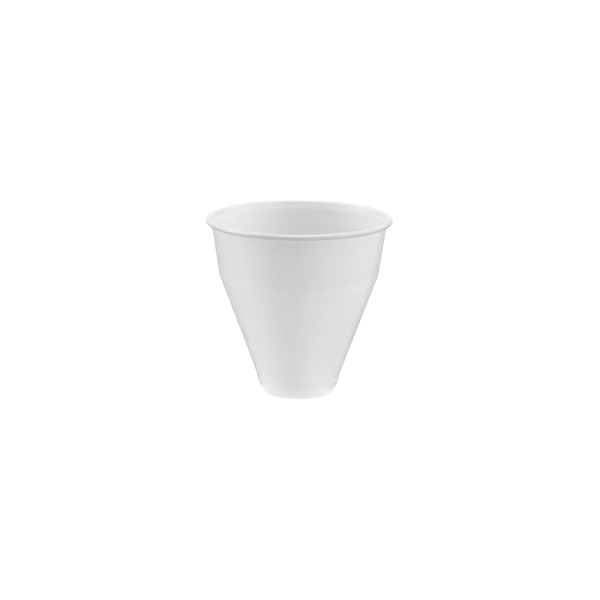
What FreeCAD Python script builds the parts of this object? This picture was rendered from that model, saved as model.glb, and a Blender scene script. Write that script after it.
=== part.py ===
import FreeCAD, Part
import math
import os

import Sketcher
from FreeCAD import Vector

# A thin thermoformed insert cup: one sheet of plastic drawn into a stepped cone, with its edge
# rolled outwards into a bead. The origin is the centre of the ring it stands on, and +Z is up.
# Each size is a name in the sheet, its value in millimetres or degrees, and what it measures.
SIZES = (
    ("cup_height", 79.6, "from the standing ring to the top of the rim"),
    ("rim_diameter", 82.5, "outside of the rolled rim"),
    ("bead_diameter", 2.6, "thickness of the rolled bead"),
    ("curl_end_angle", 61.0, "where the rolled edge stops, below level on the wall's side"),
    ("wall", 0.3, "thickness of the sheet all over"),
    ("shoulder_diameter", 70.4, "corner between the cone and the upper band"),
    ("shoulder_height", 54.0, "height of that corner"),
    ("shoulder_round", 7.0, "radius on that corner"),
    ("ring_diameter", 36.4, "upright stacking ring above the foot"),
    ("ring_height", 1.7, "upright part of the stacking ring"),
    ("ring_base", 6.9, "height of the stacking ring's lower edge"),
    ("ring_top_round", 1.0, "radius between the ring and the cone"),
    ("ring_base_round", 0.7, "radius on the ring's lower edge"),
    ("step_in", 0.5, "how far the foot stands in from the ring"),
    ("step_drop", 0.6, "height of the sloping step under the ring"),
    ("step_round", 0.6, "radius between the step and the foot"),
    ("foot_diameter", 30.7, "corner between the foot's side and the surface it stands on"),
    ("foot_round", 3.6, "radius on that corner"),
    ("stand_width", 1.0, "flat ring the cup stands on"),
    ("panel_rise", 0.9, "how far the bottom panel is raised"),
    ("panel_slope", 0.9, "width of the slope up to the panel"),
    ("panel_round", 1.0, "radius at the slope's two ends"),
)

STEP_ACROSS = "(sizes.ring_diameter / 2 - sizes.step_in)"
STEP_UP = "(sizes.ring_base - sizes.step_drop)"
FOOT_LEAN = f"atan(({STEP_ACROSS} - sizes.foot_diameter / 2) / {STEP_UP})"
# How far the foot's rounding, and the rounding of the panel's slope, run along the base plane.
FOOT_REACH = f"sizes.foot_round * tan((90 deg - {FOOT_LEAN}) / 2)"
SLOPE_REACH = "sizes.panel_round * tan(atan(sizes.panel_rise / sizes.panel_slope) / 2)"
STAND_ACROSS = f"sizes.foot_diameter / 2 - {FOOT_REACH} - sizes.stand_width - {SLOPE_REACH}"

# The sheet's outer face turns at these corners, from the bottom panel up: name, distance from the
# axis, height (None stands on the base plane) and the size that rounds the corner.
CORNERS = (
    ("panel", f"{STAND_ACROSS} - sizes.panel_slope", "sizes.panel_rise", "panel_round"),
    ("stand", STAND_ACROSS, None, "panel_round"),
    ("foot", "sizes.foot_diameter / 2", None, "foot_round"),
    ("step", STEP_ACROSS, STEP_UP, "step_round"),
    ("ring_base", "sizes.ring_diameter / 2", "sizes.ring_base", "ring_base_round"),
    ("ring_top", "sizes.ring_diameter / 2", "sizes.ring_base + sizes.ring_height", "ring_top_round"),
    ("shoulder", "sizes.shoulder_diameter / 2", "sizes.shoulder_height", "shoulder_round"),
)
CURL_CENTRE = (
    "curl", "(sizes.rim_diameter - sizes.bead_diameter) / 2", "sizes.cup_height - sizes.bead_diameter / 2",
)

START, END, CENTRE = 1, 2, 3  # a sketch's own numbers for the places on a line or an arc
ORIGIN = (-1, START)
LEVEL_AXIS, UPRIGHT_AXIS = -1, -2


def make_sheet(doc):
    sheet = doc.addObject("Spreadsheet::Sheet", "sizes")
    for row, (alias, value, meaning) in enumerate(SIZES, start=1):
        sheet.set(f"A{row}", meaning)
        sheet.set(f"B{row}", str(value))
        sheet.setAlias(f"B{row}", alias)
    doc.recompute()
    return sheet


def bind(sketch, name, expression, *constraint):
    index = sketch.addConstraint(Sketcher.Constraint(*constraint))
    sketch.renameConstraint(index, name)
    sketch.setExpression(f"Constraints.{name}", expression)


def place_corner(sketch, name, across, up):
    """Adds a construction point whose place follows the sheet, and returns its number."""
    point = sketch.addGeometry(Part.Point(Vector(10, 10, 0)), True)
    bind(sketch, f"{name}_across", across, "DistanceX", *ORIGIN, point, START, 10)
    if up is None:
        sketch.addConstraint(Sketcher.Constraint("PointOnObject", point, START, LEVEL_AXIS))
    else:
        bind(sketch, f"{name}_up", up, "DistanceY", *ORIGIN, point, START, 10)
    return point


def bend_at(before, corner, after, radius):
    """The rounding of a corner: its centre, the angles it runs between, and which way it turns."""
    back = (before - corner).normalize()
    ahead = (after - corner).normalize()
    half = back.getAngle(ahead) / 2
    centre = corner + (back + ahead).normalize() * (radius / math.sin(half))
    entry = corner + back * (radius / math.tan(half)) - centre
    leave = corner + ahead * (radius / math.tan(half)) - centre
    turns_left = back.cross(ahead).z < 0
    return centre, math.atan2(entry.y, entry.x), math.atan2(leave.y, leave.x), turns_left


def curl_bend(shoulder, centre, core, end_angle):
    """The rolled edge: the upper band meets its core radius at a tangent, then turns over it."""
    across = centre - shoulder
    lean = math.atan2(across.x, across.y) - math.asin(core / across.Length)
    return centre, math.pi - lean, -math.pi + math.radians(end_angle), False


def draw_face(sketch, start_height, bends, radii):
    """Draws one face of the sheet as lines joined by tangent arcs, and returns both lists."""
    lines, arcs = [], []
    point = Vector(0, start_height, 0)
    for (centre, entry, leave, turns_left), radius in zip(bends, radii):
        circle = Part.Circle(centre, Vector(0, 0, 1), radius)
        line = sketch.addGeometry(Part.LineSegment(point, circle.value(entry)))
        sweep = (entry, leave) if turns_left else (leave, entry)
        arc = sketch.addGeometry(Part.ArcOfCircle(circle, *sweep))
        first, last = (START, END) if turns_left else (END, START)
        if arcs:
            sketch.addConstraint(Sketcher.Constraint("Tangent", *previous, line, START))
        sketch.addConstraint(Sketcher.Constraint("Tangent", line, END, arc, first))
        previous = (arc, last)
        point = circle.value(leave)
        lines.append(line)
        arcs.append(arc)
    sketch.addConstraint(Sketcher.Constraint("PointOnObject", lines[0], START, UPRIGHT_AXIS))
    sketch.addConstraint(Sketcher.Constraint("Horizontal", lines[0]))
    return lines, arcs, previous


def draw_section(sketch, sheet):
    doc = sketch.Document
    points = [place_corner(sketch, name, across, up) for name, across, up, _ in CORNERS]
    curl = place_corner(sketch, *CURL_CENTRE)
    doc.recompute()

    places = [Vector(sketch.Geometry[point].X, sketch.Geometry[point].Y, 0) for point in points]
    curl_place = Vector(sketch.Geometry[curl].X, sketch.Geometry[curl].Y, 0)
    path = [Vector(0, places[0].y, 0), *places, curl_place]
    rounds = [getattr(sheet, size) for *_, size in CORNERS]
    core = sheet.bead_diameter / 2 - sheet.wall
    bends = [bend_at(*path[i:i + 3], rounds[i]) for i in range(len(rounds) - 1)]
    curl_turn = curl_bend(places[-1], curl_place, core, sheet.curl_end_angle)
    band_end = curl_place + Vector(math.cos(curl_turn[1]), math.sin(curl_turn[1]), 0) * core
    bends.append(bend_at(places[-2], places[-1], band_end, rounds[-1]))
    bends.append(curl_turn)
    outer_radii = [*rounds, core]
    inner_radii = [radius - sheet.wall if bend[3] else radius + sheet.wall
                   for bend, radius in zip(bends, outer_radii)]

    outer_lines, outer_arcs, outer_end = draw_face(sketch, path[0].y, bends, outer_radii)
    inner_lines, inner_arcs, inner_end = draw_face(
        sketch, path[0].y + sheet.wall, bends, inner_radii)

    # The outer face's lines run through the corners, and each bend has its size from the sheet.
    for index, (point, (name, _, _, size)) in enumerate(zip(points, CORNERS)):
        for line in outer_lines[index:index + 2]:
            sketch.addConstraint(Sketcher.Constraint("PointOnObject", point, START, line))
        bind(sketch, f"{name}_bend", f"sizes.{size}", "Radius", outer_arcs[index], rounds[index])
        sign = "-" if bends[index][3] else "+"
        bind(sketch, f"{name}_inner_bend", f"sizes.{size} {sign} sizes.wall",
             "Radius", inner_arcs[index], inner_radii[index])
    bind(sketch, "curl_core", "sizes.bead_diameter / 2 - sizes.wall", "Radius", outer_arcs[-1], core)
    bind(sketch, "curl_bead", "sizes.bead_diameter / 2", "Radius", inner_arcs[-1], inner_radii[-1])
    sketch.addConstraint(Sketcher.Constraint("Coincident", outer_arcs[-1], CENTRE, curl, START))
    for outer, inner in zip(outer_arcs, inner_arcs):
        sketch.addConstraint(Sketcher.Constraint("Coincident", inner, CENTRE, outer, CENTRE))

    # The cut edge of the sheet closes the curl, and the axis closes the bottom panel.
    edge = [curl_place + Vector(*(radius * f(curl_turn[2]) for f in (math.cos, math.sin)), 0)
            for radius in (outer_radii[-1], inner_radii[-1])]
    cut = sketch.addGeometry(Part.LineSegment(*edge))
    sketch.addConstraint(Sketcher.Constraint("Coincident", cut, START, *outer_end))
    sketch.addConstraint(Sketcher.Constraint("Coincident", cut, END, *inner_end))
    sketch.addConstraint(Sketcher.Constraint("PointOnObject", curl, START, cut))
    bind(sketch, "curl_end", "(sizes.curl_end_angle - 180) * 1 deg", "Angle", cut, curl_turn[2])
    middle = [Vector(0, path[0].y, 0), Vector(0, path[0].y + sheet.wall, 0)]
    axis = sketch.addGeometry(Part.LineSegment(*middle))
    sketch.addConstraint(Sketcher.Constraint("Coincident", axis, START, outer_lines[0], START))
    sketch.addConstraint(Sketcher.Constraint("Coincident", axis, END, inner_lines[0], START))


def make_cup(doc, sheet):
    body = doc.addObject("PartDesign::Body", "cup_body")
    body.Label = "cup"
    section = body.newObject("Sketcher::SketchObject", "wall_section")
    upright = next(plane for plane in body.Origin.OriginFeatures if plane.Role == "XZ_Plane")
    section.AttachmentSupport = (upright, [""])
    section.MapMode = "FlatFace"
    draw_section(section, sheet)
    doc.recompute()

    turned = body.newObject("PartDesign::Revolution", "turned_wall")
    turned.Profile = section
    turned.ReferenceAxis = (section, ["V_Axis"])
    turned.Angle = 360
    body.Tip = turned
    doc.recompute()
    return body


def check(doc, parts):
    for item in doc.Objects:
        if {"Invalid", "Error"} & set(item.State):
            raise RuntimeError(f"{item.Name} did not build: {item.State}")
    for part in parts:
        if part.Shape.isNull() or not part.Shape.isValid():
            raise RuntimeError(f"{part.Label} has no sound shape")


def main():
    doc = FreeCAD.newDocument("insert_cup")
    sheet = make_sheet(doc)
    parts = [make_cup(doc, sheet)]
    check(doc, parts)
    os.makedirs("parts", exist_ok=True)
    for part in parts:
        part.Shape.exportStep(f"parts/{part.Label}.step")
        print(part.Label, "volume", round(part.Shape.Volume, 1), "mm3")


main()
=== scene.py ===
import math

import bpy
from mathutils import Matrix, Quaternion, Vector


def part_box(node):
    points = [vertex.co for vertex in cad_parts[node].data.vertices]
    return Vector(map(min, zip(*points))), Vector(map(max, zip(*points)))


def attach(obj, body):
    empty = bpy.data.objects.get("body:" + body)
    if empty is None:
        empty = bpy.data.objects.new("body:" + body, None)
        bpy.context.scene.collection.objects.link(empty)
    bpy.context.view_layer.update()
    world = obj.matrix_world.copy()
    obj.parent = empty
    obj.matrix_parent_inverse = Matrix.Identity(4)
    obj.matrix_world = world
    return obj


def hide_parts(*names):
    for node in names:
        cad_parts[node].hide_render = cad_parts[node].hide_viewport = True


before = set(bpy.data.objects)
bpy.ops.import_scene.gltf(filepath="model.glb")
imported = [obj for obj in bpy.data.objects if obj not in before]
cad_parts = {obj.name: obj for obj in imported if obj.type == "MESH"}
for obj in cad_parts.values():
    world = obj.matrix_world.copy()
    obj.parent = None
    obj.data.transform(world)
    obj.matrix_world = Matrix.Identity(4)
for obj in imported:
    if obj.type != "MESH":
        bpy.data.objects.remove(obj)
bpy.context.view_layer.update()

cupLow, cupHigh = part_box("cup")
print("frame loaded, cup is", [round(1000 * side, 1) for side in cupHigh - cupLow], "mm")


# a socket that can be added, taken away and multiplied, each of which makes a Math node
class Socket:
    def __init__(self, nodes, link):
        self.nodes, self.link = nodes, link

    def __add__(self, other): return self.nodes.maths("ADD", self, other)
    def __radd__(self, other): return self.nodes.maths("ADD", other, self)
    def __sub__(self, other): return self.nodes.maths("SUBTRACT", self, other)
    def __rsub__(self, other): return self.nodes.maths("SUBTRACT", other, self)
    def __mul__(self, other): return self.nodes.maths("MULTIPLY", self, other)
    def __rmul__(self, other): return self.nodes.maths("MULTIPLY", other, self)


def setStops(elements, stops):
    while len(elements) < len(stops):
        elements.new(1)
    for element, (position, colour) in zip(elements, stops):
        element.position, element.color = position, colour


class Nodes:
    def __init__(self, owner):
        owner.use_nodes = True
        self.tree = owner.node_tree
        self.tree.nodes.clear()

    def add(self, kind, settings=None, inputs=None, output=0):
        # the settings come first, because they can change a node's sockets
        node = self.tree.nodes.new(kind)
        for name, value in (settings or {}).items():
            if name == "stops":
                setStops(node.color_ramp.elements, value)
            else:
                setattr(node, name, value)
        for name, value in (inputs or {}).items():
            if isinstance(value, Socket):
                self.tree.links.new(value.link, node.inputs[name])
            else:
                node.inputs[name].default_value = value
        return Socket(self, node.outputs[output]) if node.outputs else None

    def maths(self, operation, first, second):
        return self.add("ShaderNodeMath", {"operation": operation}, {0: first, 1: second})


# metres, and degrees for the angles; each corner is its distance from the axis, its height
# and the radius of its rounding
cup = {
    "around": 256,            # steps round the axis
    "wall": 0.0003,
    "bead": 0.0013,           # radius of the rolled bead
    "curlEnd": 61,            # how far below level the rolled edge stops
    "shoulder": (0.0352, 0.0540, 0.0070),
    "ringTop": (0.0182, 0.0086, 0.0010),
    "ringBase": (0.0182, 0.0069, 0.0007),
    "step": (0.0177, 0.0063, 0.0006),
    "foot": (0.01535, 0.0, 0.0036),
    "stand": (0.01144, 0.0, 0.0010),
    "panel": (0.01054, 0.0009, 0.0010),
    "ringEvery": 0.0025,      # spacing of the rings on the straight stretches
    "turnEvery": 9,           # angle between the rings on the roundings
    "crispFrom": 40,          # edges that turn more than this stay crisp
}


def turnPoints(centre, radius, first, last):
    # places on an arc, at even angles from first to last
    steps = max(2, math.ceil(abs(last - first) / math.radians(cup["turnEvery"])))
    angles = [first + (last - first) * step / steps for step in range(steps + 1)]
    return [centre + radius * Vector((math.cos(angle), math.sin(angle))) for angle in angles]


def roundedCorner(before, corner, after, radius):
    back = (before - corner).normalized()
    ahead = (after - corner).normalized()
    half = back.angle(ahead) / 2
    centre = corner + (back + ahead).normalized() * radius / math.sin(half)
    enter = corner + back * radius / math.tan(half) - centre
    leave = corner + ahead * radius / math.tan(half) - centre
    first = math.atan2(enter.y, enter.x)
    swing = (math.atan2(leave.y, leave.x) - first + math.pi) % (2 * math.pi) - math.pi
    return turnPoints(centre, radius, first, first + swing)


def spacedOut(start, end):
    # places between two ends of a straight stretch
    count = math.ceil((end - start).length / cup["ringEvery"])
    return [start.lerp(end, step / count) for step in range(1, count)]


def cupOutline():
    # outer face of the wall from the bottom panel's middle up to the curl's cut edge
    bead = Vector((cupHigh.x - cup["bead"], cupHigh.z - cup["bead"]))
    core = cup["bead"] - cup["wall"]
    reach = bead - Vector(cup["shoulder"][:2])
    lean = math.atan2(reach.x, reach.y) - math.asin(core / reach.length)
    curl = turnPoints(bead, core, math.pi - lean, math.radians(cup["curlEnd"]) - math.pi)
    names = ("panel", "stand", "foot", "step", "ringBase", "ringTop", "shoulder")
    corners = [cup[name] for name in names]
    path = [Vector((0, corners[0][1])), *(Vector(corner[:2]) for corner in corners), curl[0]]
    outline = []
    for index, corner in enumerate(corners):
        stretch = roundedCorner(*path[index:index + 3], corner[2])
        outline += spacedOut(outline[-1], stretch[0]) if outline else []
        outline += stretch
    return outline + spacedOut(outline[-1], curl[0]) + curl


def deselectAll():
    for item in bpy.context.selected_objects:
        item.select_set(False)


def extrudeRing(old, new):
    # the open edge is extruded, then sized and lifted to its next place
    bpy.ops.mesh.extrude_region_move(TRANSFORM_OT_translate={"value": (0, 0, new.y - old.y)})
    share = new.x / old.x
    bpy.ops.transform.resize(value=(share, share, 1), center_override=(0, 0, 0))


def makeCup():
    outline = cupOutline()
    start = outline[0]
    deselectAll()
    bpy.ops.mesh.primitive_circle_add(
        vertices=cup["around"], radius=start.x, fill_type="TRIFAN", location=(0, 0, start.y))
    piece = bpy.context.object
    piece.name = "insertCup"
    bpy.ops.object.transform_apply(location=True, rotation=True, scale=True)
    bpy.ops.object.mode_set(mode="EDIT")
    bpy.ops.mesh.select_all(action="SELECT")
    bpy.ops.mesh.region_to_loop()
    bpy.ops.mesh.select_mode(type="EDGE")
    for old, new in zip(outline, outline[1:]):
        extrudeRing(old, new)
    bpy.ops.mesh.select_all(action="SELECT")
    bpy.ops.mesh.normals_make_consistent(inside=False)
    bpy.ops.object.mode_set(mode="OBJECT")

    # an open sheet can come out facing inwards, so a face at the shoulder shows which way it is
    shoulder = cup["shoulder"][1]
    face = min(piece.data.polygons, key=lambda face: abs(face.center.z - shoulder))
    if face.normal.dot(Vector((face.center.x, face.center.y, 0))) < 0:
        piece.data.flip_normals()
    wall = piece.modifiers.new("wall", "SOLIDIFY")
    wall.thickness = cup["wall"]
    wall.offset = -1
    wall.use_even_offset = True
    bpy.ops.object.modifier_apply(modifier=wall.name)
    bpy.ops.object.shade_smooth_by_angle(angle=math.radians(cup["crispFrom"]))
    print("cup made,", len(piece.data.polygons), "faces")
    return piece


# lengths in metres
plastic = {
    "colour": (0.945, 0.945, 0.95, 1),
    "thinColour": (0.70, 0.70, 0.71, 1),      # where the drawn sheet is thin, and for painted shade
    # height up the cup, and how far the colour goes to the grey one there: partly a thinner drawn
    # sheet, partly painted shade
    "thin": (
        (0.0, 0.0), (0.004, 0.10), (0.0058, 0.14),            # foot
        (0.0066, 0.50),                                       # step under the ring
        (0.0078, 0.15), (0.0088, 0.0),                        # ring
        (0.0100, 0.10), (0.0125, 0.24), (0.020, 0.35), (0.032, 0.35), (0.0500, 0.24),      # body
        (0.0530, 0.12),                                       # shoulder
        (0.0555, 0.38), (0.058, 0.43), (0.0752, 0.43),        # upper band
        # painted light: the wall just under the curl turns lighter, against the curl's shadow
        # there
        (0.0762, 0.05), (0.0775, 0.0), (0.0788, 0.0), (0.0794, 0.2), (0.080, 0.2),         # rim
    ),
    # painted shade on the curl: greyer on its outer face, and more so on its underside; where
    # each starts and is full, by distance from the axis and by height, and how far it goes
    "outside": {"start": 0.0398, "full": 0.0405, "share": 0.52},
    "undersideShade": {"start": 0.0793, "full": 0.0786, "share": 0.48},
    # faint lines that run up the wall: climb is how much their pattern changes with height
    "drawLines": {"scale": 14, "detail": 3, "climb": 6, "share": 0.21, "relief": 2},
    "clouds": {"scale": 60, "detail": 2, "share": 0.15, "roughness": 0.06},
    "peel": {"scale": 1800, "detail": 1},
    "bump": {"strength": 0.3, "distance": 0.00002},
    "roughness": 0.285,
    # how deep light goes: far into the drawn wall and less far into the thicker rim
    "wallDepth": 0.00125,
    "rimDepth": 0.0004,
    "rim": {"start": 0.0764, "full": 0.0772},
}


def risingOver(nodes, measure, stretch):
    # 0 up to where the stretch starts, and 1 from where it is full
    return nodes.add("ShaderNodeMapRange", inputs={
        "Value": measure, "From Min": stretch["start"], "From Max": stretch["full"]})


def noise(nodes, place, pattern):
    return nodes.add("ShaderNodeTexNoise", inputs={
        "Vector": place, "Scale": pattern["scale"], "Detail": pattern["detail"]})


def mixColours(nodes, share, first, second):
    # sockets 6 and 7 and output 2 are the Mix node's colours
    return nodes.add("ShaderNodeMix", {"data_type": "RGBA"}, {
        "Factor": share, 6: first, 7: second}, 2)


def milkyPlastic():
    outside, undersideShade = plastic["outside"], plastic["undersideShade"]
    drawLines, clouds, bump = plastic["drawLines"], plastic["clouds"], plastic["bump"]
    material = bpy.data.materials.new("milkyPlastic")
    nodes = Nodes(material)
    place = nodes.add("ShaderNodeTexCoord", output="Object")
    height = nodes.add("ShaderNodeSeparateXYZ", inputs={"Vector": place}, output="Z")
    flat = nodes.add("ShaderNodeVectorMath", {"operation": "MULTIPLY"}, {0: place, 1: (1, 1, 0)})
    across = nodes.add("ShaderNodeVectorMath", {"operation": "LENGTH"}, {0: flat}, "Value")

    top = plastic["thin"][-1][0]
    stops = [(up / top, (share, share, share, 1)) for up, share in plastic["thin"]]
    thin = nodes.add("ShaderNodeValToRGB", {"stops": stops}, {"Fac": height * (1 / top)})
    # painted shade: the curl's outer face is greyer, and its underside greyer still
    curl = risingOver(nodes, across, outside) * (
        outside["share"] + undersideShade["share"] * risingOver(nodes, height, undersideShade))

    # the lines' pattern turns with the angle and hardly changes with height
    around = nodes.add("ShaderNodeVectorMath", {"operation": "NORMALIZE"}, {0: flat})
    drawn = nodes.add("ShaderNodeVectorMath", {"operation": "MULTIPLY_ADD"}, {
        0: place, 1: (0, 0, drawLines["climb"]), 2: around})
    lines = noise(nodes, drawn, drawLines)
    cloudy = noise(nodes, place, clouds)
    uneven = nodes.add("ShaderNodeBump", inputs={
        "Strength": bump["strength"], "Distance": bump["distance"],
        "Height": noise(nodes, place, plastic["peel"]) + drawLines["relief"] * lines})
    grey = thin + curl + drawLines["share"] * (lines - 0.5) + clouds["share"] * (cloudy - 0.5)
    colour = mixColours(nodes, grey, plastic["colour"], plastic["thinColour"])

    wall, rim = [
        nodes.add("ShaderNodeBsdfPrincipled", inputs={
            "Base Color": colour,
            "Roughness": plastic["roughness"] + clouds["roughness"] * cloudy,
            "Subsurface Weight": 1.0,
            "Subsurface Radius": (1, 1, 1),
            "Subsurface Scale": depth,
            "Normal": uneven,
        })
        for depth in (plastic["wallDepth"], plastic["rimDepth"])]
    thick = risingOver(nodes, height, plastic["rim"])
    skin = nodes.add("ShaderNodeMixShader", inputs={0: thick, 1: wall, 2: rim})
    nodes.add("ShaderNodeOutputMaterial", inputs={"Surface": skin})
    return material


cupPiece = makeCup()
cupPiece.data.materials.clear()
cupPiece.data.materials.append(milkyPlastic())
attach(cupPiece, "root")
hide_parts("cup")
print("cup finished in milky plastic")


studio = {
    "floorSize": 8.0,
    "floorColour": (0.85, 0.85, 0.85, 1),
    "floorGlow": 0.7,
    "ambient": 0.08,
    "pad": {"inner": 0.013, "outer": 0.026, "glow": 0.18},      # a patch of floor under the cup that glows and lights the foot from below
    # turn from the front and lift above the floor in degrees, distance and side in metres
    "lamps": {
        "leftBox": {"turn": -90, "lift": 18, "distance": 1.4, "size": 1.2, "power": 12.7},
        "rightBox": {"turn": 90, "lift": 18, "distance": 1.4, "size": 1.2, "power": 7.7},
        "topBox": {"turn": 0, "lift": 90, "distance": 1.4, "size": 1.2, "power": 8.6},
        "frontHighBox": {"turn": 0, "lift": 64, "distance": 1.4, "size": 0.8, "power": 3.6},
        "frontRightBox": {"turn": 45, "lift": 22, "distance": 1.5, "size": 1.0, "power": 4.8},
    },
    "lampAim": (0, 0, 0.04),
    "card": {
        "inner": 0.019, "outer": 0.90, "height": 0.0005, "around": 64,
        "grey": 0.08,
        # where each sheet's middle is and how far it fades to either side, in degrees
        "whiteSheets": {
            "left": {"turn": -68, "reach": 44, "light": 0.87},
            "right": {"turn": 35, "reach": 42, "light": 0.95},
            "farRight": {"turn": 100, "reach": 22, "light": 0.35},
        },
    },
    "camera": {
        "distance": 1.992, "elevation": 12.3, "roll": 0.33, "aim": (0.00056, 0, 0.0422),
        "lens": 270.8, "sensor": 36, "clip": (0.05, 50),
    },
    "bounces": {"diffuse": 16, "all": 24},      # light goes round inside the curl and the foot
}


def seenWhite(nodes):
    # 1 for the rays that see the backdrop itself: from the camera, a mirror or clear plastic
    camera, glossy, clear = [
        nodes.add("ShaderNodeLightPath", output=name)
        for name in ("Is Camera Ray", "Is Glossy Ray", "Is Transmission Ray")]
    return nodes.maths("MAXIMUM", camera + glossy, clear)


def makeWorld():
    world = bpy.data.worlds.new("studioWorld")
    bpy.context.scene.world = world
    nodes = Nodes(world)
    ambient = studio["ambient"]
    light = nodes.add("ShaderNodeBackground", inputs={
        "Color": seenWhite(nodes) * (1 - ambient) + ambient, "Strength": 1.0})
    nodes.add("ShaderNodeOutputWorld", inputs={"Surface": light})


def makeFloor():
    deselectAll()
    bpy.ops.mesh.primitive_plane_add(size=studio["floorSize"], location=(0, 0, 0))
    floor = bpy.context.object
    floor.name = "floor"
    material = bpy.data.materials.new("paleFloor")
    nodes = Nodes(material)
    paint = nodes.add("ShaderNodeBsdfDiffuse", inputs={"Color": studio["floorColour"]})
    place = nodes.add("ShaderNodeTexCoord", output="Object")
    away = nodes.add("ShaderNodeVectorMath", {"operation": "LENGTH"}, {0: place}, "Value")
    pad = nodes.add("ShaderNodeMapRange", {"interpolation_type": "SMOOTHSTEP"}, {
        "Value": away, "From Min": studio["pad"]["outer"], "From Max": studio["pad"]["inner"],
        "To Min": 0.0, "To Max": studio["pad"]["glow"]})
    glow = nodes.add("ShaderNodeEmission", inputs={
        "Color": seenWhite(nodes) * studio["floorGlow"] + pad, "Strength": 1.0})
    both = nodes.add("ShaderNodeAddShader", inputs={0: paint, 1: glow})
    nodes.add("ShaderNodeOutputMaterial", inputs={"Surface": both})
    floor.data.materials.append(material)


def wayOut(turn, lift):
    # which way is out from the cup at a turn from the front and a lift from the floor
    turn, lift = math.radians(turn), math.radians(lift)
    level = math.cos(lift)
    return Vector((math.sin(turn) * level, -math.cos(turn) * level, math.sin(lift)))


def makeLamps():
    for name, lamp in studio["lamps"].items():
        light = bpy.data.lights.new(name, "AREA")
        light.shape = "SQUARE"
        light.size = lamp["size"]
        light.energy = lamp["power"]
        item = bpy.data.objects.new(name, light)
        bpy.context.collection.objects.link(item)
        out = wayOut(lamp["turn"], lamp["lift"])
        item.location = Vector(studio["lampAim"]) + out * lamp["distance"]
        item.rotation_euler = (-out).to_track_quat("-Z", "Y").to_euler()
        item.visible_camera = False


def whiteSheet(nodes, towards, sheet):
    # light in the sheet's own direction, fading to nothing at its reach
    middle = wayOut(sheet["turn"], 0)
    facing = nodes.add("ShaderNodeVectorMath", {"operation": "DOT_PRODUCT"}, {
        0: towards, 1: middle}, "Value")
    edge = math.cos(math.radians(sheet["reach"]))
    return sheet["light"] * risingOver(nodes, facing, {"start": edge, "full": 1.0})


def makeCard():
    # a grey card round the cup's foot with three white sheets on it: only the gloss meets it,
    # and it draws the cup's edges
    card = studio["card"]
    deselectAll()
    bpy.ops.mesh.primitive_circle_add(
        vertices=card["around"], radius=card["inner"], fill_type="NOTHING",
        location=(0, 0, card["height"]))
    item = bpy.context.object
    item.name = "greyCard"
    bpy.ops.object.mode_set(mode="EDIT")
    bpy.ops.mesh.select_all(action="SELECT")
    bpy.ops.mesh.extrude_region_move()
    share = card["outer"] / card["inner"]
    bpy.ops.transform.resize(value=(share, share, 1), center_override=(0, 0, 0))
    bpy.ops.object.mode_set(mode="OBJECT")
    material = bpy.data.materials.new("greyCard")
    nodes = Nodes(material)
    place = nodes.add("ShaderNodeTexCoord", output="Object")
    towards = nodes.add("ShaderNodeVectorMath", {"operation": "NORMALIZE"}, {0: place})
    light = card["grey"]
    for sheet in card["whiteSheets"].values():
        light = light + whiteSheet(nodes, towards, sheet)
    paint = nodes.add("ShaderNodeEmission", inputs={"Color": light, "Strength": 1.0})
    nodes.add("ShaderNodeOutputMaterial", inputs={"Surface": paint})
    item.data.materials.append(material)
    item.visible_camera = False
    item.visible_diffuse = False
    item.visible_transmission = False
    item.visible_shadow = False


def makeCamera():
    settings = studio["camera"]
    data = bpy.data.cameras.new("camera")
    data.lens, data.sensor_width = settings["lens"], settings["sensor"]
    data.clip_start, data.clip_end = settings["clip"]
    item = bpy.data.objects.new("camera", data)
    bpy.context.collection.objects.link(item)
    out = wayOut(0, settings["elevation"])
    item.location = Vector(settings["aim"]) + out * settings["distance"]
    roll = Quaternion((0, 0, 1), math.radians(settings["roll"]))
    item.rotation_euler = ((-out).to_track_quat("-Z", "Y") @ roll).to_euler()
    bpy.context.scene.camera = item


makeWorld()
makeFloor()
makeLamps()
makeCard()
makeCamera()
bpy.context.scene.view_settings.view_transform = "Standard"
bpy.context.scene.cycles.diffuse_bounces = studio["bounces"]["diffuse"]
bpy.context.scene.cycles.max_bounces = studio["bounces"]["all"]
print("studio made")
